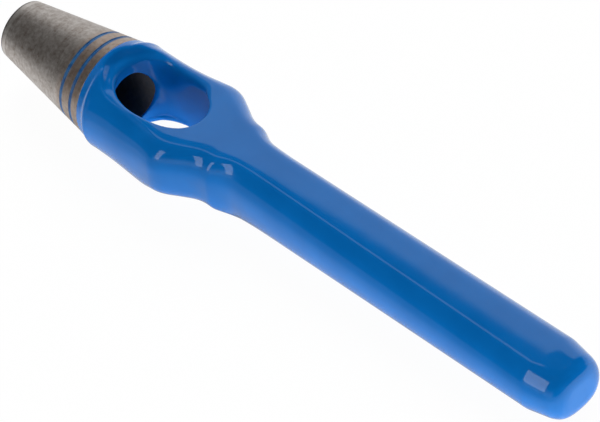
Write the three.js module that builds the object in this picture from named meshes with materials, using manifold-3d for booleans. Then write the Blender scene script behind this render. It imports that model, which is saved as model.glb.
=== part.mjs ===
// A one-piece forged hollow punch, dip-lacquered from the eye to the struck end.
// Millimetres. X runs along the tool from the cutting edge to the struck end, and Z up through the eye.
// Places along the tool are measured from the cutting edge, and the finished group is centred at the end.

import * as THREE from 'three';
import { mergeVertices } from 'three/addons/utils/BufferGeometryUtils.js';
import Module from 'manifold-3d';

const wasm = await Module();
wasm.setup();

// Whole tool and cutting cone
const OVERALL_LENGTH = 110;
const BORE_DIAMETER = 8;
const EDGE_LAND = 0.25;
const BEVEL_LENGTH = 0.3;
const BEVEL_RISE = 0.35;
const CONE_LENGTH = 20.9;
const CONE_BACK_RADIUS = 8.13;

// Turned grooves in the cone, and the lacquer left in them
const FRONT_GROOVE_AT = 15.2;
const REAR_GROOVE_AT = 17.46;
const GROOVE_WIDTH = 0.6;
const GROOVE_DEPTH = 0.35;
const PAINT_CLEARANCE = 0.05;
const PAINT_BELOW_CONE = 0.06;

// Lacquer coat and the steel's own edges under it
const COAT_FRONT = 19.21;
const COAT_THICKNESS = 0.3;
const COAT_CLEARANCE = 0.3;
const STEEL_EDGE_RADIUS = 0.2;

// Head and neck in plan: where each stretch ends, its half width there and how far its corner is eased.
// Collar and cheeks are given by how far they stand out over the back of the cone.
const COLLAR_AT = 21.7;
const COLLAR_RISE = 0.32;
const COLLAR_EASE = 0.4;
const CHEEK_AT = 28;
const CHEEK_RISE = 0.47;
const CHEEK_EASE = 2;
const WIDEST_AT = 36.1;
const WIDEST_HALF_WIDTH = 9.4;
const WIDEST_EASE = 1.4;
const NECK_FRONT_AT = 42.1;
const NECK_HALF_WIDTH = 6.15;
const NECK_EASE = 0.7;
const NECK_BACK_AT = 44;
const NECK_BACK_HALF_WIDTH = 6.05;
const NECK_BACK_EASE = 0.7;
const SHANK_AT = 46.7;
const SHANK_HALF_WIDTH = 5.12;
const SHANK_EASE = 0.7;

// Half height that each round section would have without the flats, on the head from the back of the cone
const HEAD_CROWN = 0.37;
const NECK_HALF_HEIGHT = 7.5;
const SHANK_HALF_HEIGHT = 6.75;
const HEIGHT_EASE = 1.5;

// Forged flats, top and bottom
const FLATS_HALF_HEIGHT_AT_EYE = 6.18;
const FLATS_HALF_HEIGHT_AT_TAIL = 4.94;
const FLATS_FRONT_CENTRE_AT = 26.3;
const FLATS_FRONT_RADIUS = 5.7;
const FLATS_RAMP_RUN = 0.9;
const FLATS_RAMP_RISE = 1.6;

// Eye that lets the slugs fall out
const EYE_FRONT_AT = 21.88;
const EYE_BACK_AT = 37.49;
const EYE_HALF_WIDTH = 5.08;
const EYE_EXPONENT_SHARE = 2.2;

// Struck end
const TAIL_HALF_WIDTH = 5.77;
const TAIL_HALF_HEIGHT = 5.5;
const CHAMFER_LENGTH = 5.87;
const CHAMFER_DEPTH = 0.94;
const TAIL_ROUND_LENGTH = 1.9;
const TAIL_ROUND_DEPTH = 1.75;

// Extra length of every cutter past the face that it cuts
const OVERRUN = 1;

// Facet counts
const ROUND_FACETS = 40;
const EYE_FACETS = 36;
const RIM_STEPS = 2;
const TAIL_ROUND_STEPS = 3;
const FRONT_ARC_STEPS = 14;

const COLLAR_HALF_WIDTH = CONE_BACK_RADIUS + COLLAR_RISE;
const CHEEK_HALF_WIDTH = CONE_BACK_RADIUS + CHEEK_RISE;
const HEAD_HALF_WIDTH = Math.max(WIDEST_HALF_WIDTH, CHEEK_HALF_WIDTH);
const HEAD_HALF_HEIGHT = CONE_BACK_RADIUS + HEAD_CROWN;
const SKIN_DEPTH = COAT_THICKNESS + COAT_CLEARANCE;
const EYE_MIDDLE_AT = (EYE_FRONT_AT + EYE_BACK_AT) / 2;
const CHAMFER_AT = OVERALL_LENGTH - CHAMFER_LENGTH;
const TAIL_ROUND_AT = OVERALL_LENGTH - TAIL_ROUND_LENGTH;

const STEEL = { color: 0x9c9690, roughness: 0.38, metalness: 0.9 };
const LACQUER = { color: 0x0a5cae, roughness: 0.18, metalness: 0 };

// Value along the tool: straight runs between corners, each corner eased by a parabola over its reach
function easedRuns(corners) {
  const slope = (i) => (corners[i + 1].value - corners[i].value) / (corners[i + 1].at - corners[i].at);
  const eased = (past, reach) => {
    if (past <= -reach) return 0;
    return past >= reach ? past : (past + reach) ** 2 / (4 * reach);
  };
  return (x) => {
    let value = corners[0].value + slope(0) * (x - corners[0].at);
    for (let i = 1; i < corners.length - 1; i += 1) {
      value += (slope(i) - slope(i - 1)) * eased(x - corners[i].at, corners[i].reach);
    }
    return value;
  };
}

const CONE_TIP_RADIUS = BORE_DIAMETER / 2 + EDGE_LAND + BEVEL_RISE;
const coneRadius = (x) => CONE_TIP_RADIUS
  + (CONE_BACK_RADIUS - CONE_TIP_RADIUS) * (x - BEVEL_LENGTH) / (CONE_LENGTH - BEVEL_LENGTH);

const halfWidth = easedRuns([
  { at: BEVEL_LENGTH, value: CONE_TIP_RADIUS },
  { at: CONE_LENGTH, value: CONE_BACK_RADIUS, reach: COLLAR_EASE / 2 },
  { at: COLLAR_AT, value: COLLAR_HALF_WIDTH, reach: COLLAR_EASE },
  { at: CHEEK_AT, value: CHEEK_HALF_WIDTH, reach: CHEEK_EASE },
  { at: WIDEST_AT, value: WIDEST_HALF_WIDTH, reach: WIDEST_EASE },
  { at: NECK_FRONT_AT, value: NECK_HALF_WIDTH, reach: NECK_EASE },
  { at: NECK_BACK_AT, value: NECK_BACK_HALF_WIDTH, reach: NECK_BACK_EASE },
  { at: SHANK_AT, value: SHANK_HALF_WIDTH, reach: SHANK_EASE },
  { at: CHAMFER_AT, value: TAIL_HALF_WIDTH },
]);

const roundHalfHeight = easedRuns([
  { at: BEVEL_LENGTH, value: CONE_TIP_RADIUS },
  { at: CONE_LENGTH, value: CONE_BACK_RADIUS, reach: COLLAR_EASE / 2 },
  { at: CHEEK_AT, value: HEAD_HALF_HEIGHT, reach: HEIGHT_EASE },
  { at: WIDEST_AT, value: HEAD_HALF_HEIGHT, reach: HEIGHT_EASE },
  { at: NECK_FRONT_AT, value: NECK_HALF_HEIGHT, reach: HEIGHT_EASE },
  { at: SHANK_AT, value: SHANK_HALF_HEIGHT, reach: HEIGHT_EASE },
  { at: CHAMFER_AT, value: TAIL_HALF_HEIGHT },
]);

// Half height of the flats, which fall away in one straight line from the eye to the struck end
const flatSlope = (FLATS_HALF_HEIGHT_AT_TAIL - FLATS_HALF_HEIGHT_AT_EYE) / (CHAMFER_AT - EYE_MIDDLE_AT);
const flatHalfHeight = (x) => FLATS_HALF_HEIGHT_AT_EYE + flatSlope * (x - EYE_MIDDLE_AT);

// How far the struck end draws in: a straight chamfer, then a quarter-round to the end face
function tailDrawIn(x) {
  if (x <= CHAMFER_AT) return 0;
  const onChamfer = Math.min((x - CHAMFER_AT) / (TAIL_ROUND_AT - CHAMFER_AT), 1);
  const onRound = Math.min(Math.max((x - TAIL_ROUND_AT) / TAIL_ROUND_LENGTH, 0), 1);
  return CHAMFER_DEPTH * onChamfer + TAIL_ROUND_DEPTH * (1 - Math.sqrt(1 - onRound ** 2));
}

// A point of a superellipse, the outline between an ellipse and a box
function superellipse(angle, halfX, halfY, exponent) {
  const power = (value) => Math.sign(value) * Math.abs(value) ** (2 / exponent);
  return [halfX * power(Math.cos(angle)), halfY * power(Math.sin(angle))];
}

// A closed body skinned over rings with equal numbers of points, its two ends closed flat
function loft(rings) {
  const count = rings[0].length;
  const faces = [];
  for (let i = 0; i < rings.length - 1; i += 1) {
    for (let j = 0; j < count; j += 1) {
      const next = (j + 1) % count;
      const a = i * count + j;
      const b = i * count + next;
      faces.push(a, b, b + count, a, b + count, a + count);
    }
  }
  for (let j = 1; j < count - 1; j += 1) {
    const last = (rings.length - 1) * count;
    faces.push(0, j + 1, j, last, last + j, last + j + 1);
  }
  const geometry = new THREE.BufferGeometry();
  geometry.setAttribute('position', new THREE.Float32BufferAttribute(rings.flat(2), 3));
  geometry.setIndex(faces);
  return geometry;
}

// Booleans
function solid(geometry) {
  const bare = geometry.clone();
  bare.deleteAttribute('normal');
  bare.deleteAttribute('uv');
  const merged = mergeVertices(bare);
  return new wasm.Manifold(new wasm.Mesh({
    numProp: 3,
    vertProperties: new Float32Array(merged.attributes.position.array),
    triVerts: new Uint32Array(merged.index.array),
  }));
}

function geometryOf(body) {
  const mesh = body.getMesh();
  const geometry = new THREE.BufferGeometry();
  geometry.setAttribute('position', new THREE.BufferAttribute(mesh.vertProperties, 3));
  geometry.setIndex(new THREE.BufferAttribute(mesh.triVerts, 1));
  const flat = geometry.toNonIndexed();
  flat.computeVertexNormals();
  return flat;
}

// One section of the forging before the flats are pressed, drawn in by the depth below its surface
function roundRing(x, depth) {
  const below = depth + tailDrawIn(x + depth);
  const ring = [];
  for (let j = 0; j < ROUND_FACETS; j += 1) {
    const angle = (2 * Math.PI * (j + 1 / 2)) / ROUND_FACETS;
    ring.push([x, (halfWidth(x) - below) * Math.cos(angle), (roundHalfHeight(x) - below) * Math.sin(angle)]);
  }
  return ring;
}

// Places of the sections: each corner of the outline, the ends of its easing, and the tail's roundings
function stations(from, to, depth) {
  const corners = [
    [CONE_LENGTH, COLLAR_EASE / 2], [COLLAR_AT, COLLAR_EASE], [CHEEK_AT, CHEEK_EASE],
    [WIDEST_AT, WIDEST_EASE], [NECK_FRONT_AT, NECK_EASE], [NECK_BACK_AT, NECK_BACK_EASE],
    [SHANK_AT, SHANK_EASE], [EYE_MIDDLE_AT, HEIGHT_EASE], [CHAMFER_AT - depth, 0],
  ];
  const places = corners.flatMap(([at, reach]) => [at - reach, at, at + reach]);
  for (let i = 0; i < TAIL_ROUND_STEPS; i += 1) {
    const turn = (i / TAIL_ROUND_STEPS) * (Math.PI / 2);
    places.push(TAIL_ROUND_AT - depth + TAIL_ROUND_LENGTH * Math.sin(turn));
  }
  const inside = places.filter((place) => place > from && place < to);
  return [...new Set([from, ...inside, to])].sort((a, b) => a - b);
}

function roundBody(from, depth) {
  const to = OVERALL_LENGTH - depth;
  return solid(loft(stations(from, to, depth).map((x) => roundRing(x, depth))));
}

// The ground cone: cutting edge, narrow bevel and long taper
function cone(to) {
  const profile = [
    new THREE.Vector2(0, 0),
    new THREE.Vector2(BORE_DIAMETER / 2 + EDGE_LAND, 0),
    new THREE.Vector2(CONE_TIP_RADIUS, BEVEL_LENGTH),
    new THREE.Vector2(coneRadius(to), to),
    new THREE.Vector2(0, to),
  ];
  return alongTool(new THREE.LatheGeometry(profile, ROUND_FACETS));
}

// Lays a lathe or cylinder, made around +Y, along the tool
function alongTool(geometry) {
  return geometry.rotateZ(-Math.PI / 2).rotateX(Math.PI / ROUND_FACETS);
}

// The room above the top flat, seen from the side: over the flat's line and the struck end's chamfer
function slabOverFlat(depth, reach, top) {
  const line = (x) => new THREE.Vector2(x, flatHalfHeight(x) - depth - tailDrawIn(x + depth));
  const start = FLATS_FRONT_CENTRE_AT - reach;
  const end = OVERALL_LENGTH - depth;
  const side = new THREE.Shape([line(start), ...stations(SHANK_AT, end, depth).map(line)]);
  side.lineTo(OVERALL_LENGTH + OVERRUN, line(end).y);
  side.lineTo(OVERALL_LENGTH + OVERRUN, top);
  side.lineTo(start, top);
  return new THREE.ExtrudeGeometry(side, { depth: 2 * reach, bevelEnabled: false })
    .translate(0, 0, -reach)
    .rotateX(Math.PI / 2);
}

// The same room seen from above: round in front of the eye, widening as it climbs the steep ramp there
function roundFrontedColumn(depth, reach, top) {
  const foot = flatHalfHeight(FLATS_FRONT_CENTRE_AT - FLATS_FRONT_RADIUS) - depth;
  const plan = (z) => {
    const radius = FLATS_FRONT_RADIUS + depth + (z - foot) * (FLATS_RAMP_RUN / FLATS_RAMP_RISE);
    const ring = [];
    for (let i = 0; i <= FRONT_ARC_STEPS; i += 1) {
      const angle = Math.PI * (1 / 2 + i / FRONT_ARC_STEPS);
      ring.push([FLATS_FRONT_CENTRE_AT + radius * Math.cos(angle), radius * Math.sin(angle), z]);
    }
    ring.push([FLATS_FRONT_CENTRE_AT, -reach, z]);
    ring.push([OVERALL_LENGTH + OVERRUN, -reach, z]);
    ring.push([OVERALL_LENGTH + OVERRUN, reach, z]);
    ring.push([FLATS_FRONT_CENTRE_AT, reach, z]);
    return ring;
  };
  return loft([plan(foot - OVERRUN), plan(top)]);
}

// Presses the flats into a round body, top and bottom alike
function pressFlats(body, depth) {
  const reach = HEAD_HALF_WIDTH + OVERRUN;
  const top = HEAD_HALF_HEIGHT + OVERRUN;
  const slab = slabOverFlat(depth, reach, top);
  const column = roundFrontedColumn(depth, reach, top + OVERRUN);
  const above = solid(slab).intersect(solid(column));
  const below = solid(slab.rotateX(Math.PI)).intersect(solid(column.rotateX(Math.PI)));
  return body.subtract(above).subtract(below);
}

// The eye, straight through, with its rims rounded over onto both flats
function eyeCutter(depth) {
  const rim = STEEL_EDGE_RADIUS + SKIN_DEPTH - depth;
  const levels = [];
  for (let i = 0; i <= RIM_STEPS; i += 1) {
    const turn = (Math.PI / 2) * (i / (RIM_STEPS + 1 / 2));
    levels.push({ out: rim * (1 - Math.cos(turn)), drop: rim * (1 - Math.sin(turn)) });
  }
  const last = levels[RIM_STEPS];
  levels.push({ out: last.out + OVERRUN, drop: last.drop - OVERRUN / 2 });
  const halfLength = (EYE_BACK_AT - EYE_FRONT_AT) / 2;
  const ring = ({ out, drop }, side) => {
    const grown = depth + out;
    const points = [];
    for (let j = 0; j < EYE_FACETS; j += 1) {
      const angle = (2 * Math.PI * (j + 1 / 2)) / EYE_FACETS;
      const [dx, y] = superellipse(angle, halfLength + grown, EYE_HALF_WIDTH + grown, EYE_EXPONENT_SHARE);
      const x = EYE_MIDDLE_AT + dx;
      points.push([x, y, side * (flatHalfHeight(x) - depth - drop)]);
    }
    return points;
  };
  const lower = [...levels].reverse().map((level) => ring(level, -1));
  return solid(loft([...lower, ...levels.map((level) => ring(level, 1))]));
}

// The bore, from in front of the cutting edge into the eye
function boreCutter() {
  const length = EYE_MIDDLE_AT + OVERRUN;
  const radius = BORE_DIAMETER / 2;
  const bore = new THREE.CylinderGeometry(radius, radius, length, ROUND_FACETS);
  return solid(alongTool(bore).translate(length / 2 - OVERRUN, 0, 0));
}

// A ring around the cone: the groove's cutter, or the lacquer that lies in it
function coneRing(at, halfLength, low, high) {
  const profile = [
    new THREE.Vector2(coneRadius(at - halfLength) - low, at - halfLength),
    new THREE.Vector2(coneRadius(at - halfLength) + high, at - halfLength),
    new THREE.Vector2(coneRadius(at + halfLength) + high, at + halfLength),
    new THREE.Vector2(coneRadius(at + halfLength) - low, at + halfLength),
    new THREE.Vector2(coneRadius(at - halfLength) - low, at - halfLength),
  ];
  return alongTool(new THREE.LatheGeometry(profile, ROUND_FACETS));
}

const grooveCutter = (at) => solid(coneRing(at, GROOVE_WIDTH / 2, GROOVE_DEPTH, OVERRUN));

const groovePaint = (at) => coneRing(
  at, GROOVE_WIDTH / 2 - PAINT_CLEARANCE, GROOVE_DEPTH - PAINT_CLEARANCE, -PAINT_BELOW_CONE,
);

// The steel: the bare cone, and the forging that goes on under the coat
function punchBody() {
  const covered = pressFlats(roundBody(COAT_FRONT - OVERRUN, SKIN_DEPTH), SKIN_DEPTH);
  const bare = solid(cone(COAT_FRONT));
  return bare.add(covered)
    .subtract(eyeCutter(SKIN_DEPTH))
    .subtract(boreCutter())
    .subtract(grooveCutter(FRONT_GROOVE_AT))
    .subtract(grooveCutter(REAR_GROOVE_AT));
}

// The coat: the tool's outside behind the cone, less the room for the steel, open at the cone and the bore
function handleLacquer() {
  const outside = pressFlats(roundBody(COAT_FRONT, 0), 0).subtract(eyeCutter(0));
  const room = pressFlats(roundBody(COAT_FRONT - OVERRUN, COAT_THICKNESS), COAT_THICKNESS)
    .subtract(eyeCutter(COAT_THICKNESS));
  return outside.subtract(room).subtract(boreCutter());
}

function part(name, geometry, look) {
  const mesh = new THREE.Mesh(geometry, new THREE.MeshStandardMaterial(look));
  mesh.name = name;
  return mesh;
}

const punch = new THREE.Group();
punch.add(part('punch_body', geometryOf(punchBody()), STEEL));
punch.add(part('handle_lacquer', geometryOf(handleLacquer()), LACQUER));
punch.add(part('front_groove_paint', groovePaint(FRONT_GROOVE_AT), LACQUER));
punch.add(part('rear_groove_paint', groovePaint(REAR_GROOVE_AT), LACQUER));

// The origin lies midway along the tool, level with its lowest point
const box = new THREE.Box3().setFromObject(punch);
punch.position.set(-OVERALL_LENGTH / 2, 0, -box.min.z);

export default punch;
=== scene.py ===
import bpy
import numpy as np
from mathutils import Matrix, Vector


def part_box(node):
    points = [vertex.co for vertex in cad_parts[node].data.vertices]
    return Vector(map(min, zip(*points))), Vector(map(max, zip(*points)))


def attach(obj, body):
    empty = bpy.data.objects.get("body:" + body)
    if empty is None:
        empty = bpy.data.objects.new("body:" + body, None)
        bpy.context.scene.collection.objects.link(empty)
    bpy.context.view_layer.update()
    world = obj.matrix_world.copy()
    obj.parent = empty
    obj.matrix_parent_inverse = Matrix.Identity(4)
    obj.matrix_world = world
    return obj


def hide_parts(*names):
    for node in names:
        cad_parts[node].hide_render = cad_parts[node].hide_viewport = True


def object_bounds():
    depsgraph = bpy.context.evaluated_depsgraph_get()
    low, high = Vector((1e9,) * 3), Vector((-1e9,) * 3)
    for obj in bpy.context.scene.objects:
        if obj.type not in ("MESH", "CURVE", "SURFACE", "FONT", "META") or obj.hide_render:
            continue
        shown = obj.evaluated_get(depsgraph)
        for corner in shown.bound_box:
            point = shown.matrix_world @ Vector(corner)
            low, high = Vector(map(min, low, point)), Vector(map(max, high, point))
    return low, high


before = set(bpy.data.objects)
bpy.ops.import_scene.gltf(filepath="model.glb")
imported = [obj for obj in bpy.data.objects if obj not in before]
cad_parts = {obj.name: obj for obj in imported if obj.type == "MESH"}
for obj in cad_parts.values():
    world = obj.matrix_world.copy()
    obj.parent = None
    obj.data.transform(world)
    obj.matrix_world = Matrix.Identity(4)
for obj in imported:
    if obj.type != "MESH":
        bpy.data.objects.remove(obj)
cad_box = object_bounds()


# The photographer's camera.
# A long lens from above the struck end: the tool runs from top left to bottom right, with almost no perspective.
LENS_MM = 420
SENSOR_MM = 36
CAMERA_PLACE = (0.522439, -0.409468, 0.723675)
CAMERA_RIGHT = (0.70710678, 0.69753714, -0.11593937)
CAMERA_UP = (-0.46319551, 0.58081389, 0.66940657)
CAMERA_BACK = (0.53427514, -0.41963933, 0.73379351)

lens = bpy.data.cameras.new("long_lens")
lens.lens = LENS_MM
lens.sensor_width = SENSOR_MM
camera = bpy.data.objects.new("camera", lens)
bpy.context.scene.collection.objects.link(camera)
camera_turn = Matrix((CAMERA_RIGHT, CAMERA_UP, CAMERA_BACK)).transposed().to_4x4()
camera.matrix_world = Matrix.Translation(CAMERA_PLACE) @ camera_turn
bpy.context.scene.camera = camera
bpy.context.scene.view_settings.view_transform = "Standard"


# The steel cutting cone, bored through.
# Drop-forged tool steel, turned and ground to a long taper, with a blunt new edge and two turned grooves.
# Its back end runs on inside the lacquered head, and its bore wall runs to the front of the eye.

# Sizes are in millimetres, and places along the tool are counted from the cutting edge.
MM = 0.001
TIP_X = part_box("punch_body")[0].x
AXIS_Z = (cad_box[0].z + cad_box[1].z) / 2
BORE_RADIUS = 4.0
CONE_RADIUS_AT_TIP = 4.552
CONE_TAPER = 0.171
CONE_END_AT = 19.4
EDGE_LAND_RADIUS = 4.33
EDGE_ROUND_LENGTH = 0.42
FRONT_GROOVE_AT = 15.2
REAR_GROOVE_AT = 17.46
GROOVE_HALF_WIDTH = 0.33
GROOVE_DEPTH = 0.22
GROOVE_MARGIN = 0.06
BORE_WALL_STEP = 0.05
BORE_WALL_GAP = 0.25
EYE_CENTRE_AT = 29.685
EYE_HALF_LENGTH = 7.805
EYE_HALF_WIDTH = 4.9
EYE_POWER = 2.18
EYE_POWER_GAIN = 1.5
EYE_POWER_REACH = 5.6
EYE_SWELL = 1.05
EYE_SWELL_AT = -3.6
EYE_SWELL_REACH = 2.4
BORE_SCALE_FROM = 1.5
ROUND_STEPS = 180


def in_frame(points):
    """Millimetres from the middle of the cutting edge, to metres in the row frame."""
    return np.asarray(points, float) * MM + np.array([TIP_X, 0, AXIS_Z])


def make_mesh(name, points, faces, normals=None):
    """A smooth object from an array of points in millimetres and one of quads, with its normals if given."""
    mesh = bpy.data.meshes.new(name)
    mesh.vertices.add(len(points))
    mesh.vertices.foreach_set("co", in_frame(points).ravel())
    mesh.loops.add(faces.size)
    mesh.loops.foreach_set("vertex_index", faces.ravel().astype(np.int32))
    mesh.polygons.add(len(faces))
    mesh.polygons.foreach_set("loop_start", np.arange(0, faces.size, 4, dtype=np.int32))
    mesh.update(calc_edges=True)
    mesh.shade_smooth()
    mesh.validate()
    if normals is not None:
        mesh.normals_split_custom_set_from_vertices(normals)
    made = bpy.data.objects.new(name, mesh)
    bpy.context.scene.collection.objects.link(made)
    return made


def turned(profile_x, profile_r):
    """A profile carried round the tool's axis: point (x, r) at angle a is (x, r cos a, r sin a).

    The profile is a closed loop, and x may be a table of one row for each of its points and one column for
    each angle.
    """
    angle = np.linspace(0, 2 * np.pi, ROUND_STEPS, endpoint=False)
    x = np.asarray(profile_x, float).reshape(len(profile_r), -1)
    x = np.broadcast_to(x, (len(profile_r), ROUND_STEPS))
    r = np.asarray(profile_r, float)[:, None]
    points = np.stack([x, r * np.cos(angle), r * np.sin(angle)], axis=-1).reshape(-1, 3)
    row = np.arange(len(profile_r))[:, None]
    column = np.arange(ROUND_STEPS)[None, :]
    next_row = (row + 1) % len(profile_r)
    next_column = (column + 1) % ROUND_STEPS
    at = lambda i, j: (i * ROUND_STEPS + j).ravel()
    faces = np.stack(
        [at(row, column), at(row, next_column), at(next_row, next_column), at(next_row, column)], axis=1
    )
    return points, faces


def cone_radius(x):
    """Radius of the ground taper: a straight line along the tool."""
    return CONE_RADIUS_AT_TIP + CONE_TAPER * x


def eye_power(z):
    """Power of the eye's oval at height z: most at mid height, and less by the fourth power of the height."""
    return EYE_POWER + EYE_POWER_GAIN * np.clip(1 - (z / EYE_POWER_REACH) ** 4, 0, 1)


def eye_swell(z):
    """How far the eye's front wall stands back below the bore: a bell curve over the height z."""
    return EYE_SWELL * np.exp(-(((z - EYE_SWELL_AT) / EYE_SWELL_REACH) ** 2))


def cutting_cone():
    """The taper's line less two rounded grooves, then the bore wall back to the eye.

    A groove is its depth times (1 - s^4), where s is the distance from its middle over its half width. The edge
    is a quarter of an ellipse from the flat land to the taper. The bore wall ends just before the eye's wall,
    which is at a place of its own for each angle.
    """
    turn = np.linspace(0, np.pi / 2, 9)
    edge_x = EDGE_ROUND_LENGTH * (1 - np.cos(turn))
    edge_r = EDGE_LAND_RADIUS + (cone_radius(EDGE_ROUND_LENGTH) - EDGE_LAND_RADIUS) * np.sin(turn)
    fine = np.linspace(-1, 1, 17)
    # Rows are close in the grooves, with one just outside each lip, so that the lip stays crisp.
    land = GROOVE_HALF_WIDTH + GROOVE_MARGIN
    long_x = np.concatenate(
        [
            np.arange(0.8, FRONT_GROOVE_AT - 0.6, 0.6),
            [FRONT_GROOVE_AT - land],
            FRONT_GROOVE_AT + fine * GROOVE_HALF_WIDTH,
            [FRONT_GROOVE_AT + land, (FRONT_GROOVE_AT + REAR_GROOVE_AT) / 2, REAR_GROOVE_AT - land],
            REAR_GROOVE_AT + fine * GROOVE_HALF_WIDTH,
            [REAR_GROOVE_AT + land, 18.4, 19.0, CONE_END_AT],
        ]
    )
    cut = np.zeros_like(long_x)
    for groove in (FRONT_GROOVE_AT, REAR_GROOVE_AT):
        off = np.clip(np.abs(long_x - groove) / GROOVE_HALF_WIDTH, 0, 1)
        cut += GROOVE_DEPTH * (1 - off**4)
    wall = BORE_RADIUS + BORE_WALL_STEP
    angle = np.linspace(0, 2 * np.pi, ROUND_STEPS, endpoint=False)
    across = np.abs(BORE_RADIUS * np.cos(angle)) / EYE_HALF_WIDTH
    level = BORE_RADIUS * np.sin(angle)
    power = eye_power(level)
    front_length = EYE_HALF_LENGTH - eye_swell(level)
    eye_wall = EYE_CENTRE_AT - front_length * (1 - across**power) ** (1 / power) - BORE_WALL_GAP
    x_rows = [np.full(ROUND_STEPS, x) for x in (*edge_x, *long_x, CONE_END_AT)]
    x_rows += [eye_wall, eye_wall]
    x_rows += [np.full(ROUND_STEPS, x) for x in (15.0, 8.0, 2.0, 0.1, 0.0)]
    radii = [*edge_r, *(cone_radius(long_x) - cut), wall, wall, BORE_RADIUS]
    radii += [BORE_RADIUS, BORE_RADIUS, BORE_RADIUS, BORE_RADIUS, wall]
    return turned(np.array(x_rows), radii)


def hex_colour(text):
    """An sRGB hex colour as the linear values that Blender's sockets take."""
    srgb = np.array([int(text[i : i + 2], 16) for i in (1, 3, 5)]) / 255
    linear = np.where(srgb <= 0.04045, srgb / 12.92, ((srgb + 0.055) / 1.055) ** 2.4)
    return (*linear, 1.0)


def add_node(tree, kind, inputs=None, **settings):
    """Adds a node: settings are its properties, and inputs are its sockets, linked if given a socket."""
    made = tree.nodes.new(kind)
    for name, value in settings.items():
        setattr(made, name, value)
    for key, value in (inputs or {}).items():
        if isinstance(value, bpy.types.NodeSocket):
            tree.links.new(value, made.inputs[key])
        else:
            made.inputs[key].default_value = value
    return made


def new_material(name):
    """An empty node material, with its tree and its output node."""
    made = bpy.data.materials.new(name)
    made.use_nodes = True
    made.node_tree.nodes.clear()
    return made, made.node_tree, add_node(made.node_tree, "ShaderNodeOutputMaterial")


def ground_steel():
    """Hardened tool steel, ground and lightly oiled: a warm grey, blotched, with faint turning lines round it.

    Blotches are about 0.7 mm, in clouds of 2.6 mm, and the lines 0.25 mm, all coarser than real grinding so
    that they show. The first 1.2 mm of the cone is honed brighter, with a dark line on the edge itself, and the
    bands by the grooves keep a brown film of thin lacquer.
    """
    made, tree, out = new_material("ground_tool_steel")
    where = add_node(tree, "ShaderNodeTexCoord").outputs["Object"]
    blotch = add_node(
        tree, "ShaderNodeTexNoise", {"Vector": where, "Scale": 1 / (0.7 * MM), "Detail": 5, "Roughness": 0.7}
    ).outputs["Fac"]
    cloud = add_node(
        tree, "ShaderNodeTexNoise", {"Vector": where, "Scale": 1 / (2.6 * MM), "Detail": 2}
    ).outputs["Fac"]
    # Drawn out across the tool's axis, the noise becomes rings round it.
    squeezed = add_node(
        tree, "ShaderNodeMapping", {"Vector": where, "Scale": (1, 0.08, 0.08)}
    ).outputs["Vector"]
    lines = add_node(
        tree, "ShaderNodeTexNoise", {"Vector": squeezed, "Scale": 1 / (0.25 * MM), "Detail": 3}
    ).outputs["Fac"]
    grain = add_node(
        tree, "ShaderNodeMix", {"Factor": 0.22, "A": blotch, "B": lines}, data_type="FLOAT"
    ).outputs["Result"]
    grain = add_node(
        tree, "ShaderNodeMix", {"Factor": 0.2, "A": grain, "B": cloud}, data_type="FLOAT"
    ).outputs["Result"]
    colour = add_node(tree, "ShaderNodeValToRGB", {"Fac": grain})
    colour.color_ramp.elements[0].position = 0.36
    colour.color_ramp.elements[0].color = hex_colour("#91857c")
    colour.color_ramp.elements[1].position = 0.62
    colour.color_ramp.elements[1].color = hex_colour("#cfcac6")
    along = add_node(tree, "ShaderNodeSeparateXYZ", {"Vector": where}).outputs["X"]
    film = add_node(
        tree,
        "ShaderNodeMapRange",
        {"Value": along, "From Min": TIP_X + 13.6 * MM, "From Max": TIP_X + 15.4 * MM, "To Max": 0.55},
    ).outputs["Result"]
    film = add_node(tree, "ShaderNodeMath", {0: film, 1: cloud}, operation="MULTIPLY").outputs["Value"]
    tinted = add_node(
        tree,
        "ShaderNodeMix",
        {"Factor": film, "A": colour.outputs["Color"], "B": hex_colour("#a8784e")},
        data_type="RGBA",
    ).outputs[2]
    honed = add_node(
        tree,
        "ShaderNodeMapRange",
        {"Value": along, "From Min": TIP_X + 1.2 * MM, "From Max": TIP_X + 1.0 * MM, "To Max": 0.4},
    ).outputs["Result"]
    tinted = add_node(
        tree, "ShaderNodeMix", {"Factor": honed, "A": tinted, "B": hex_colour("#e8e4e0")}, data_type="RGBA"
    ).outputs[2]
    rim = add_node(
        tree,
        "ShaderNodeMapRange",
        {"Value": along, "From Min": TIP_X + 0.42 * MM, "From Max": TIP_X + 0.3 * MM, "To Max": 0.8},
    ).outputs["Result"]
    tinted = add_node(
        tree, "ShaderNodeMix", {"Factor": rim, "A": tinted, "B": hex_colour("#3a3735")}, data_type="RGBA"
    ).outputs[2]
    rough = add_node(
        tree,
        "ShaderNodeMapRange",
        {"Value": grain, "From Min": 0.3, "From Max": 0.7, "To Min": 0.42, "To Max": 0.54},
    ).outputs["Result"]
    bump = add_node(
        tree, "ShaderNodeBump", {"Height": grain, "Strength": 0.3, "Distance": 0.025 * MM}
    ).outputs["Normal"]
    skin = add_node(
        tree,
        "ShaderNodeBsdfPrincipled",
        {"Base Color": tinted, "Metallic": 1.0, "Roughness": rough, "Normal": bump},
    )
    tree.links.new(skin.outputs["BSDF"], out.inputs["Surface"])
    return made


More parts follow.
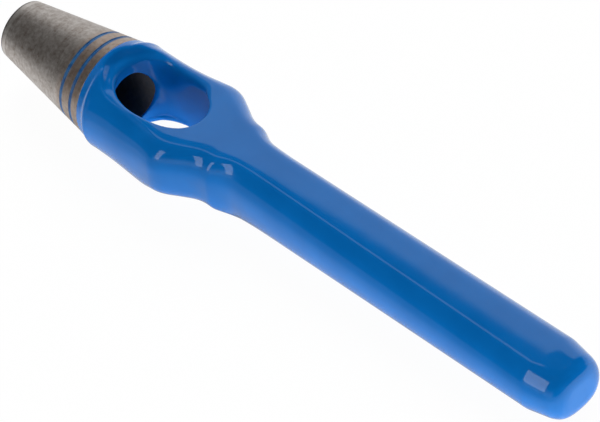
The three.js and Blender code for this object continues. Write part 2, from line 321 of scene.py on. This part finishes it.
def bore_scale():
    """Black forge scale and old grease in the bore, which no tool or light reaches: nearly black, and matt.

    Its crust is in spots of 0.6 mm, coarser than real so that they show.
    """
    made, tree, out = new_material("black_bore_scale")
    where = add_node(tree, "ShaderNodeTexCoord").outputs["Object"]
    crust = add_node(
        tree, "ShaderNodeTexNoise", {"Vector": where, "Scale": 1 / (0.6 * MM), "Detail": 3}
    ).outputs["Fac"]
    colour = add_node(tree, "ShaderNodeValToRGB", {"Fac": crust})
    colour.color_ramp.elements[0].color = hex_colour("#302e2c")
    colour.color_ramp.elements[1].color = hex_colour("#4a443e")
    bump = add_node(tree, "ShaderNodeBump", {"Height": crust, "Strength": 0.4, "Distance": 0.03 * MM})
    skin = add_node(
        tree,
        "ShaderNodeBsdfPrincipled",
        {"Base Color": colour.outputs["Color"], "Roughness": 0.85, "Normal": bump.outputs["Normal"]},
    )
    tree.links.new(skin.outputs["BSDF"], out.inputs["Surface"])
    return made


cone = make_mesh("cutting_cone", *cutting_cone())
cone.data.materials.append(ground_steel())
cone.data.materials.append(bore_scale())
middles = np.empty(len(cone.data.polygons) * 3)
cone.data.polygons.foreach_get("center", middles)
middles = middles.reshape(-1, 3) - in_frame((0, 0, 0))
in_bore = np.hypot(middles[:, 1], middles[:, 2]) < (BORE_RADIUS + BORE_WALL_STEP + 0.01) * MM
in_bore &= middles[:, 0] > BORE_SCALE_FROM * MM
cone.data.polygons.foreach_set("material_index", in_bore.astype(np.int32))
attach(cone, "root")
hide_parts("punch_body")


# The lacquered head, neck and shank.
# One forging with the cone, dipped in glossy blue lacquer from behind the grooves to the struck end.
# Its shape is one formula, which is zero on the skin, and a net of quads follows that skin.
LACQUER_FRONT_AT = 19.21
LACQUER_LIP_ROUND = 0.08
LACQUER_THICKNESS = 0.06
LENGTH = 110.0

# Each table is of corners along the tool: place, value, and the reach over which the corner is eased.
HALF_WIDTH = [
    (20.9, 8.52, 0), (24.5, 8.42, 1.5), (29, 8.62, 2), (33, 8.9, 2), (36.1, 9.3, 1.4), (39, 7.75, 1.2),
    (41.6, 6.35, 1.5), (44, 6.2, 0.4), (46.5, 4.98, 1.4), (104.13, 5.77, 0.5), (110, 4.72, 0),
]
UPPER_HEIGHT = [
    (20.9, 8.16, 0), (24.5, 8.33, 2), (29, 7.97, 2), (33, 7.3, 2), (36.5, 6.75, 1.6), (39.5, 6.65, 1.6),
    (42.5, 6.4, 1.4), (46.7, 6.5, 1.4), (104.13, 5.5, 0.5), (110, 4.5, 0),
]
LOWER_HEIGHT = [
    (20.9, 8.3, 0), (24.5, 9.0, 2), (29, 9.55, 2), (33, 8.2, 2), (36.5, 6.6, 1.6), (39.5, 6.35, 1.6),
    (42.5, 6.4, 1.4), (46.7, 6.5, 1.4), (104.13, 5.5, 0.5), (110, 4.5, 0),
]
WIDEST_LEVEL = [(19, 0, 0), (32, 0, 3), (36, 0.6, 2), (39, 0.9, 2), (43, 0.2, 2), (48, 0, 3), (110, 0, 0)]
SIDE_POWER = [(19, 2.0, 0), (29, 2.0, 3), (35.5, 2.75, 2.5), (43, 2.75, 2), (49, 2.1, 3), (110, 2.0, 0)]
FLAT_HEIGHT = [(19, 6.340, 0), (106.6, 4.898, 2.0), (110, 4.2, 0)]
FLAT_TILT = [(19, 0, 0), (46, 0.008, 4), (58, 0.016, 4), (68, 0.002, 4), (95, 0.010, 4), (110, 0.010, 0)]
FLAT_EDGE_ROUND = [(19, 0.6, 0), (26, 0.7, 2), (30, 0.6, 2), (34, 0.35, 2), (110, 0.35, 0)]
UNDER_EDGE_ROUND = [
    (19, 0.6, 0), (26, 0.9, 2), (31, 1.3, 2), (35, 5.1, 2), (43, 5.1, 2), (47, 1.0, 2), (110, 1.0, 0),
]
FLAT_CROWN = 0.013
FLAT_CROWN_FROM = 46
FLAT_CROWN_RUN = 8
RAMP_CENTRE_AT = 26.3
RAMP_FOOT_RADIUS = 5.65
RAMP_LEAN = 0.56
RAMP_OPENING = 0.8
RAMP_ROUND = 0.4
COLLAR_AT = 21.0
COLLAR_ROUND = 0.5
UNDER_COLLAR = [
    (0, CONE_RADIUS_AT_TIP + LACQUER_THICKNESS, 0),
    (20.95, cone_radius(20.95) + LACQUER_THICKNESS, 0.3),
    (24, 6.5, 0),
]
UNDER_COLLAR_ROUND = 0.5
SHOULDER_FILLET = 0.9
UPPER_RIM_ROUND = 0.4
LOWER_RIM_ROUND = 0.45
FRONT_RIM_GAIN = 1.0
FRONT_RIM_END_AT = 31
FRONT_RIM_RUN = 6
FAR_RIM_GAIN = 1.4
FAR_RIM_FROM = -1
FAR_RIM_RUN = 5
FAR_RIM_END_AT = 36
FAR_RIM_FADE = 3
BORE_CUT_RADIUS = 4.06
BORE_CUT_ROUND = 0.1
BORE_RIM_ROUND = 0.3
STRUCK_END_ROUND = 2.5


def eased_runs(x, corners):
    """Value along the tool: straight runs between (place, value) corners.

    Each corner is eased by a parabola over its reach r: with u = x - place, the ramp max(u, 0) becomes
    (u + r)^2 / 4r between -r and r.
    """
    place, value, reach = (np.array(column, float) for column in zip(*corners))
    slope = np.diff(value) / np.diff(place)
    result = value[0] + slope[0] * (x - place[0])
    for i in range(1, len(corners) - 1):
        u = x - place[i]
        inside = np.clip(u + reach[i], 0, 2 * reach[i]) ** 2 / (4 * reach[i])
        result = result + (slope[i] - slope[i - 1]) * (inside + np.maximum(u - reach[i], 0))
    return result


def rounded_max(a, b, k):
    """max(a, b) with its corner rounded: max(a, b) + (k - |a - b|)^2 / 4k where a and b are within k."""
    return np.maximum(a, b) + np.maximum(k - np.abs(a - b), 0) ** 2 / (4 * k)


def rounded_min(a, b, k):
    """min(a, b) with its corner filled, the mirror of rounded_max."""
    return -rounded_max(-a, -b, k)


def oval_gap(u, v, a, b, n):
    """About how far (u, v) is outside the oval |u/a|^n + |v/b|^n = 1.

    It is (q - 1) over the length of q's slope, where q is the left side to the power 1/n.
    """
    u = np.abs(u) + 1e-6
    v = np.abs(v) + 1e-6
    q = np.maximum(((u / a) ** n + (v / b) ** n) ** (1 / n), 0.2)
    slope_u = (u / a) ** (n - 1) / a * q ** (1 - n)
    slope_v = (v / b) ** (n - 1) / b * q ** (1 - n)
    return (q - 1) / np.maximum(np.hypot(slope_u, slope_v), 1e-3)


def lacquered_form(x, y, z):
    """Below zero inside the lacquered forging, above zero outside, and about a distance near its skin.

    The section is an oval whose power, widest level and heights above and below that level change along the
    tool. Two flats cut it, crowned by a parabola and tilted a little, and end in a round ramp before the eye. The
    cone runs in under the collar. The eye and the bore are taken out, with a rim that is rounder in front and on
    the far side. The front edge and the struck end are cut square and rounded.
    """
    widest = eased_runs(x, WIDEST_LEVEL)
    height = np.where(z > widest, eased_runs(x, UPPER_HEIGHT) - widest, eased_runs(x, LOWER_HEIGHT) + widest)
    edge_round = np.where(z > 0, eased_runs(x, FLAT_EDGE_ROUND), eased_runs(x, UNDER_EDGE_ROUND))
    side = oval_gap(y, z - widest, eased_runs(x, HALF_WIDTH), height, eased_runs(x, SIDE_POWER))
    on_shank = np.clip((x - FLAT_CROWN_FROM) / FLAT_CROWN_RUN, 0, 1)
    over = np.abs(z) - eased_runs(x, FLAT_HEIGHT) + FLAT_CROWN * on_shank * y**2 + eased_runs(x, FLAT_TILT) * y
    ahead = np.minimum(x - RAMP_CENTRE_AT, 0)
    behind = np.maximum(x - RAMP_CENTRE_AT, 0)
    ramp = RAMP_FOOT_RADIUS + RAMP_LEAN * over + RAMP_OPENING * behind - np.hypot(ahead, y)
    pressed = rounded_min(over, ramp / np.hypot(1, RAMP_LEAN), RAMP_ROUND)
    form = rounded_max(side, pressed, edge_round)
    form = rounded_max(form, COLLAR_AT - x, COLLAR_ROUND)
    under = rounded_max(np.hypot(y, z) - eased_runs(x, UNDER_COLLAR), pressed, UNDER_COLLAR_ROUND)
    form = rounded_min(form, under, SHOULDER_FILLET)
    length = np.where(x < EYE_CENTRE_AT, EYE_HALF_LENGTH - eye_swell(z), EYE_HALF_LENGTH)
    eye = oval_gap(x - EYE_CENTRE_AT, y, length, EYE_HALF_WIDTH, eye_power(z))
    front = np.clip((FRONT_RIM_END_AT - x) / FRONT_RIM_RUN, 0, 1)
    far = np.clip((y - FAR_RIM_FROM) / FAR_RIM_RUN, 0, 1) * np.clip((FAR_RIM_END_AT - x) / FAR_RIM_FADE, 0, 1)
    upper_rim = UPPER_RIM_ROUND + FRONT_RIM_GAIN * front + FAR_RIM_GAIN * far**2 * (3 - 2 * far)
    form = rounded_max(form, -eye, np.where(z > 0, upper_rim, LOWER_RIM_ROUND))
    bore = rounded_max(np.hypot(y, z) - BORE_CUT_RADIUS, x - EYE_CENTRE_AT, BORE_CUT_ROUND)
    form = rounded_max(form, -bore, BORE_RIM_ROUND)
    form = rounded_max(form, LACQUER_FRONT_AT - x, LACQUER_LIP_ROUND)
    return rounded_max(form, x - LENGTH, STRUCK_END_ROUND)


def slope_of(form, points, step=0.004):
    """The form's value and its slope along x, y and z, by central differences."""
    slope = np.empty_like(points)
    for axis in range(3):
        off = np.zeros(3)
        off[axis] = step
        slope[:, axis] = (form(*(points + off).T) - form(*(points - off).T)) / (2 * step)
    return form(*points.T), slope


def net_over(form, xs, ys, zs, rounds=4, longest_move=0.2):
    """A net of quads over the surface where form is zero, and the surface's own normals.

    The form is worked out on a box of cells. Each cell that the surface crosses gets a point at the mean of its
    edges' crossings. Each crossed edge joins the four cells round it by a quad. The points then slide along the
    form's slope until its value is zero.
    """
    grid = np.stack(np.meshgrid(xs, ys, zs, indexing="ij"), axis=-1)
    value = form(grid[..., 0], grid[..., 1], grid[..., 2])
    inside = value < 0
    cells = tuple(n - 1 for n in value.shape)
    total = np.zeros((int(np.prod(cells)), 3))
    count = np.zeros(int(np.prod(cells)))
    quads = []
    for axis in range(3):
        low = tuple(slice(0, -1) if i == axis else slice(None) for i in range(3))
        high = tuple(slice(1, None) if i == axis else slice(None) for i in range(3))
        crossed = inside[low] != inside[high]
        share = (value[low][crossed] / (value[low][crossed] - value[high][crossed]))[:, None]
        crossing = grid[low][crossed] * (1 - share) + grid[high][crossed] * share
        others = [i for i in range(3) if i != axis]
        place = np.stack(np.nonzero(crossed), axis=1)
        around = np.repeat(place[:, None, :], 4, axis=1)
        around[:, :, others[0]] += np.array([-1, 0, 0, -1])
        around[:, :, others[1]] += np.array([-1, -1, 0, 0])
        kept = ((around >= 0) & (around < np.array(cells))).all(axis=(1, 2))
        ring = np.ravel_multi_index(np.moveaxis(around[kept], 2, 0), cells)
        for corner in range(4):
            np.add.at(total, ring[:, corner], crossing[kept])
            np.add.at(count, ring[:, corner], 1)
        outward = inside[low][crossed][kept] != (axis == 1)
        quads.append(np.where(outward[:, None], ring, ring[:, ::-1]))
    used = count > 0
    number = np.cumsum(used) - 1
    points = total[used] / count[used][:, None]
    for _ in range(rounds):
        gap, slope = slope_of(form, points)
        move = gap[:, None] * slope / np.maximum((slope**2).sum(axis=1), 0.2)[:, None]
        points = points - np.clip(move, -longest_move, longest_move)
    slope = slope_of(form, points)[1]
    return points, number[np.concatenate(quads)], slope / np.linalg.norm(slope, axis=1)[:, None]


def gloss_lacquer():
    """Blue nitrocellulose dip lacquer over steel: deep even colour, wet gloss, and slow waves where it ran.

    The waves are about 5 mm long and a few hundredths of a millimetre high, and bend the reflections a little.
    A finer orange peel of 0.8 mm lies over them, about as on the real tool. The blue is deeper where the waves
    are low.
    """
    made, tree, out = new_material("gloss_blue_lacquer")
    where = add_node(tree, "ShaderNodeTexCoord").outputs["Object"]
    wave = add_node(
        tree, "ShaderNodeTexNoise", {"Vector": where, "Scale": 1 / (5 * MM), "Detail": 2}
    ).outputs["Fac"]
    peel = add_node(
        tree, "ShaderNodeTexNoise", {"Vector": where, "Scale": 1 / (0.8 * MM), "Detail": 2}
    ).outputs["Fac"]
    colour = add_node(tree, "ShaderNodeValToRGB", {"Fac": wave})
    colour.color_ramp.elements[0].position = 0.3
    colour.color_ramp.elements[0].color = hex_colour("#03599e")
    colour.color_ramp.elements[1].position = 0.7
    colour.color_ramp.elements[1].color = hex_colour("#055ea5")
    slow = add_node(tree, "ShaderNodeBump", {"Height": wave, "Strength": 0.5, "Distance": 0.03 * MM})
    fine = add_node(
        tree,
        "ShaderNodeBump",
        {"Height": peel, "Strength": 0.3, "Distance": 0.003 * MM, "Normal": slow.outputs["Normal"]},
    )
    skin = add_node(
        tree,
        "ShaderNodeBsdfPrincipled",
        {
            "Base Color": colour.outputs["Color"],
            "Roughness": 0.07,
            "IOR": 1.47,
            "Normal": fine.outputs["Normal"],
        },
    )
    tree.links.new(skin.outputs["BSDF"], out.inputs["Surface"])
    return made


# The grid that the net is laid over: closer lines at the thin front lip, over the head and at the struck end.
lines_x = np.concatenate(
    [
        np.arange(19.0, 19.45, 0.06),
        np.arange(19.5, 23.0, 0.16),
        np.arange(23.1, 48.0, 0.25),
        np.arange(48.2, 103.0, 0.42),
        np.arange(103.1, 110.6, 0.25),
    ]
)
lines_y = np.arange(-10.02, 10.1, 0.25)
lines_z = np.arange(-8.52, 8.6, 0.25)
handle = make_mesh("lacquered_handle", *net_over(lacquered_form, lines_x, lines_y, lines_z))
handle.data.materials.append(gloss_lacquer())
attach(handle, "root")
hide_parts("handle_lacquer")


# The blue rings in the turned grooves.
# Lacquer that stayed in the grooves when the cone was wiped and ground after dipping.
RING_SHARE_OF_DEPTH = 0.35
RING_SHARE_OF_WIDTH = 0.97
RING_SUNK_BY = 0.01
RING_SET_IN_BY = 0.02


def worn_lacquer_and_painted_shade():
    """The thin lacquer left in a groove: the same blue, darker by painted shade of the groove, half matt, and
    greyer where it is scuffed.

    The scuffs are in spots of about 0.9 mm, coarser than real so that they show.
    """
    made, tree, out = new_material("worn_blue_lacquer_and_painted_shade")
    where = add_node(tree, "ShaderNodeTexCoord").outputs["Object"]
    scuff = add_node(
        tree, "ShaderNodeTexNoise", {"Vector": where, "Scale": 1 / (0.9 * MM), "Detail": 4}
    ).outputs["Fac"]
    # The ramp's blues are darker than the handle's lacquer: painted shade in the groove. The spread between them
    # is the real scuffing.
    colour = add_node(tree, "ShaderNodeValToRGB", {"Fac": scuff})
    colour.color_ramp.elements[0].position = 0.35
    colour.color_ramp.elements[0].color = hex_colour("#0b3d6e")
    colour.color_ramp.elements[1].position = 0.7
    colour.color_ramp.elements[1].color = hex_colour("#2c5c88")
    bump = add_node(
        tree, "ShaderNodeBump", {"Height": scuff, "Strength": 0.4, "Distance": 0.01 * MM}
    ).outputs["Normal"]
    skin = add_node(
        tree,
        "ShaderNodeBsdfPrincipled",
        {"Base Color": colour.outputs["Color"], "Roughness": 0.28, "IOR": 1.47, "Normal": bump},
    )
    tree.links.new(skin.outputs["BSDF"], out.inputs["Surface"])
    return made


def groove_fill(middle):
    """A ring that fills a groove to a share of its depth.

    With s the distance from the groove's middle over its half width, the bed follows the groove's 1 - s^4, set
    into the steel a little, and the top is a hollow of the depth that is left, times 1 - s^2.
    """
    off = np.linspace(-1, 1, 17)
    x = middle + off * GROOVE_HALF_WIDTH * RING_SHARE_OF_WIDTH
    bed = cone_radius(x) - GROOVE_DEPTH * (1 - off**4) - RING_SET_IN_BY
    top = cone_radius(x) - GROOVE_DEPTH * (1 - RING_SHARE_OF_DEPTH) * (1 - off**2) - RING_SUNK_BY
    return turned(np.concatenate([x, x[::-1]]), [*top, *bed[::-1]])


ring_lacquer = worn_lacquer_and_painted_shade()
for ring_name, ring_at in (("front_groove_paint", FRONT_GROOVE_AT), ("rear_groove_paint", REAR_GROOVE_AT)):
    ring = make_mesh(ring_name.replace("paint", "ring"), *groove_fill(ring_at))
    ring.data.materials.append(ring_lacquer)
    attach(ring, "root")
    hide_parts(ring_name)


# The table under it.
# A white paper sweep, tipped by two degrees, so that the tool lies on its shoulder and on the lower edge of the
# struck end.
TABLE_HALF = 2.0
TABLE_TIP = 0.0352
TABLE_TOUCH = (-0.0353, 0.0, 0.0)

corners = np.array([(-1, -1), (1, -1), (1, 1), (-1, 1)]) * TABLE_HALF
heights = (corners[:, 0] - TABLE_TOUCH[0]) * TABLE_TIP
table_mesh = bpy.data.meshes.new("table")
table_mesh.from_pydata(np.column_stack([corners, heights]).tolist(), [], [(0, 1, 2, 3)])
table = bpy.data.objects.new("table", table_mesh)
bpy.context.scene.collection.objects.link(table)
white, white_tree, white_out = new_material("white_sweep")
path = add_node(white_tree, "ShaderNodeLightPath").outputs
spot = add_node(white_tree, "ShaderNodeTexCoord").outputs["Object"]
spot = add_node(white_tree, "ShaderNodeSeparateXYZ", {"Vector": spot}).outputs
aside = add_node(white_tree, "ShaderNodeMath", {0: spot["Y"]}, operation="ABSOLUTE").outputs["Value"]

# What the tool's gloss mirrors of the sheet is painted brightness: a painted shadow of the tool close by, pale
# beside it, dimmer far off, paler again past its two ends, and white behind it.
shade_under = add_node(
    white_tree,
    "ShaderNodeMapRange",
    {"Value": spot["X"], "From Min": -12 * MM, "From Max": 4 * MM, "To Min": 0.15, "To Max": 0.45},
    interpolation_type="SMOOTHSTEP",
).outputs["Result"]
pale_beside = add_node(
    white_tree,
    "ShaderNodeMapRange",
    {"Value": aside, "From Min": 3 * MM, "From Max": 5.5 * MM, "To Min": shade_under, "To Max": 0.64},
    interpolation_type="SMOOTHSTEP",
).outputs["Result"]
dimmer_far_off = add_node(
    white_tree,
    "ShaderNodeMapRange",
    {"Value": aside, "From Min": 13 * MM, "From Max": 34 * MM, "To Min": 1.0, "To Max": 0.45},
    interpolation_type="SMOOTHSTEP",
).outputs["Result"]
pool = add_node(
    white_tree, "ShaderNodeMath", {0: pale_beside, 1: dimmer_far_off}, operation="MULTIPLY"
).outputs["Value"]
past_struck_end = add_node(
    white_tree,
    "ShaderNodeMapRange",
    {"Value": spot["X"], "From Min": 45 * MM, "From Max": 57 * MM, "To Min": 0.0, "To Max": 0.22},
    interpolation_type="SMOOTHSTEP",
).outputs["Result"]
past_edge = add_node(
    white_tree,
    "ShaderNodeMapRange",
    {"Value": spot["X"], "From Min": -40 * MM, "From Max": -50 * MM, "To Min": 0.0, "To Max": 0.42},
    interpolation_type="SMOOTHSTEP",
).outputs["Result"]
close_by = add_node(
    white_tree,
    "ShaderNodeMapRange",
    {"Value": aside, "From Min": 22 * MM, "From Max": 45 * MM, "To Min": 1.0, "To Max": 0.0},
    interpolation_type="SMOOTHSTEP",
).outputs["Result"]
past_edge = add_node(
    white_tree, "ShaderNodeMath", {0: past_edge, 1: close_by}, operation="MULTIPLY"
).outputs["Value"]
pool = add_node(white_tree, "ShaderNodeMath", {0: pool, 1: past_struck_end}, operation="ADD").outputs["Value"]
pool = add_node(white_tree, "ShaderNodeMath", {0: pool, 1: past_edge}, operation="ADD").outputs["Value"]
behind_shank = add_node(
    white_tree, "ShaderNodeMapRange", {"Value": spot["Y"], "From Min": -5.5 * MM, "From Max": -3.5 * MM}
).outputs["Result"]
along_shank = add_node(
    white_tree, "ShaderNodeMapRange", {"Value": spot["X"], "From Min": -14 * MM, "From Max": -4 * MM}
).outputs["Result"]
behind_shank = add_node(
    white_tree, "ShaderNodeMath", {0: behind_shank, 1: along_shank}, operation="MULTIPLY"
).outputs["Value"]
behind_all = add_node(
    white_tree, "ShaderNodeMapRange", {"Value": spot["Y"], "From Min": 7 * MM, "From Max": 11 * MM}
).outputs["Result"]
behind = add_node(
    white_tree, "ShaderNodeMath", {0: behind_shank, 1: behind_all}, operation="MAXIMUM"
).outputs["Value"]
pool = add_node(white_tree, "ShaderNodeMath", {0: pool, 1: behind}, operation="MAXIMUM").outputs["Value"]
mirrored = add_node(
    white_tree,
    "ShaderNodeMath",
    {0: path["Is Glossy Ray"], 1: path["Is Transmission Ray"]},
    operation="MAXIMUM",
).outputs["Value"]

# The lit sheet itself, and a painted glow that only diffuse rays see: it stands in for the light that the sheet
# bounces on to the tool's lower faces and into the eye, and is strongest close to the tool.
paper = add_node(white_tree, "ShaderNodeBsdfDiffuse", {"Color": hex_colour("#f0f0f0")}).outputs["BSDF"]
painted_bounce_glow = add_node(
    white_tree,
    "ShaderNodeMapRange",
    {"Value": aside, "From Min": 6 * MM, "From Max": 60 * MM, "To Min": 3.0, "To Max": 0.1},
    interpolation_type="SMOOTHSTEP",
).outputs["Result"]
painted_bounce_glow = add_node(
    white_tree, "ShaderNodeMath", {0: painted_bounce_glow, 1: path["Is Diffuse Ray"]}, operation="MULTIPLY"
).outputs["Value"]
# The painted glow is an emission from the sheet, though the sheet is no lamp.
glow = add_node(white_tree, "ShaderNodeEmission", {"Strength": painted_bounce_glow}).outputs["Emission"]
table_light = add_node(white_tree, "ShaderNodeAddShader", {0: paper, 1: glow}).outputs["Shader"]

# The camera sees 0.97 of plain white and 0.03 of the lit sheet, so that the tool keeps a faint shadow.
plain_white = add_node(white_tree, "ShaderNodeEmission", {"Strength": 1.0}).outputs["Emission"]
seen = add_node(
    white_tree, "ShaderNodeMath", {0: path["Is Camera Ray"], 1: 0.97}, operation="MULTIPLY"
).outputs["Value"]
unmirrored = add_node(
    white_tree, "ShaderNodeMixShader", {0: seen, 1: table_light, 2: plain_white}
).outputs["Shader"]
# Mirrored rays see the painted shadow and the painted pale pools as an emission.
graded = add_node(white_tree, "ShaderNodeEmission", {"Strength": pool}).outputs["Emission"]
sheet = add_node(white_tree, "ShaderNodeMixShader", {0: mirrored, 1: unmirrored, 2: graded})
white_tree.links.new(sheet.outputs["Shader"], white_out.inputs["Surface"])
table_mesh.materials.append(white)


# The studio light.
# White cards stand round the table for the gloss to mirror: a high one at the back, which pales the long flat,
# lower ones beside and in front, and a dim one past the cutting edge. Two soft boxes make the small bright
# reflections, and four fills, which the gloss doesn't mirror, light the tool evenly.
STUDIO_GLOOM = 0.012

world = bpy.data.worlds.new("studio")
bpy.context.scene.world = world
world.use_nodes = True
room = world.node_tree
room.nodes.clear()
room_out = add_node(room, "ShaderNodeOutputWorld")
direction = add_node(room, "ShaderNodeTexCoord").outputs["Generated"]
height = add_node(room, "ShaderNodeSeparateXYZ", {"Vector": direction}).outputs["Z"]
level = add_node(
    room, "ShaderNodeVectorMath", {0: direction, 1: (1.0, 1.0, 0.0)}, operation="MULTIPLY"
).outputs["Vector"]
level = add_node(room, "ShaderNodeVectorMath", {0: level}, operation="NORMALIZE").outputs["Vector"]


def card(middle, edge, top, brightness):
    """A white card that stands round the table, as its brightness in each direction.

    Its arc has its middle at an angle in degrees from the struck end, and fades between the cosines of its two
    edges. Its top fades between the sines of two elevations. The two fades are multiplied.
    """
    facing = (float(np.cos(np.radians(middle))), float(np.sin(np.radians(middle))), 0.0)
    along = add_node(
        room, "ShaderNodeVectorMath", {0: level, 1: facing}, operation="DOT_PRODUCT"
    ).outputs["Value"]
    arc = add_node(
        room,
        "ShaderNodeMapRange",
        {"Value": along, "From Min": edge[0], "From Max": edge[1], "To Max": brightness},
        interpolation_type="SMOOTHSTEP",
    ).outputs["Result"]
    under = add_node(
        room,
        "ShaderNodeMapRange",
        {"Value": height, "From Min": top[0], "From Max": top[1]},
        interpolation_type="SMOOTHSTEP",
    ).outputs["Result"]
    return add_node(room, "ShaderNodeMath", {0: arc, 1: under}, operation="MULTIPLY").outputs["Value"]


back_card = card(126, (0.83, 0.93), (0.783, 0.750), 0.88)
side_card = card(98, (0.70, 0.82), (0.36, 0.20), 0.6)
end_card = card(178, (0.70, 0.92), (0.78, 0.74), 0.17)
front_card = card(-90, (0.87, 0.97), (0.42, 0.18), 0.5)
cards = add_node(
    room, "ShaderNodeMath", {0: back_card, 1: side_card}, operation="MAXIMUM"
).outputs["Value"]
cards = add_node(room, "ShaderNodeMath", {0: cards, 1: front_card}, operation="ADD").outputs["Value"]
cards = add_node(room, "ShaderNodeMath", {0: cards, 1: end_card}, operation="ADD").outputs["Value"]
bright = add_node(room, "ShaderNodeMath", {0: cards, 1: STUDIO_GLOOM}, operation="ADD").outputs["Value"]
paint = add_node(room, "ShaderNodeCombineXYZ", {"X": bright, "Y": bright, "Z": bright}).outputs["Vector"]
sky = add_node(room, "ShaderNodeBackground", {"Color": paint, "Strength": 1.0})
room.links.new(sky.outputs["Background"], room_out.inputs["Surface"])


def soft_box(name, toward, distance, width, height, radiance, glossy=True):
    """A rectangular lamp that faces the tool from a direction, of that size in metres and that radiance.

    Its power is the radiance times pi times its area, so the radiance is what a mirror shows of it.
    """
    data = bpy.data.lights.new(name, "AREA")
    data.shape = "RECTANGLE"
    data.size = width
    data.size_y = height
    data.energy = radiance * np.pi * width * height
    lamp = bpy.data.objects.new(name, data)
    bpy.context.scene.collection.objects.link(lamp)
    toward = Vector(toward).normalized()
    lamp.location = toward * distance
    lamp.rotation_euler = toward.to_track_quat("Z", "Y").to_euler()
    lamp.visible_glossy = glossy


# The front box makes the small bright patches on the neck, and the edge box the thin line beside the long flat.
soft_box("front_box", (-0.22, -0.9, 0.45), 1.0, 0.23, 0.6, 2.4)
soft_box("edge_box", (-0.4, -0.05, 0.87), 1.2, 0.2, 0.5, 0.95)

# The fills.
soft_box("back_fill", (-0.3, 0.5, 0.85), 1.3, 1.0, 1.0, 5.8, glossy=False)
soft_box("top_fill", (0.1, -0.45, 0.9), 1.3, 0.5, 0.5, 1.2, glossy=False)
soft_box("front_fill", (0.1, -0.93, 0.12), 1.3, 1.4, 0.3, 5.0, glossy=False)
soft_box("end_fill", (0.95, -0.1, 0.18), 1.3, 0.8, 0.4, 5.6, glossy=False)
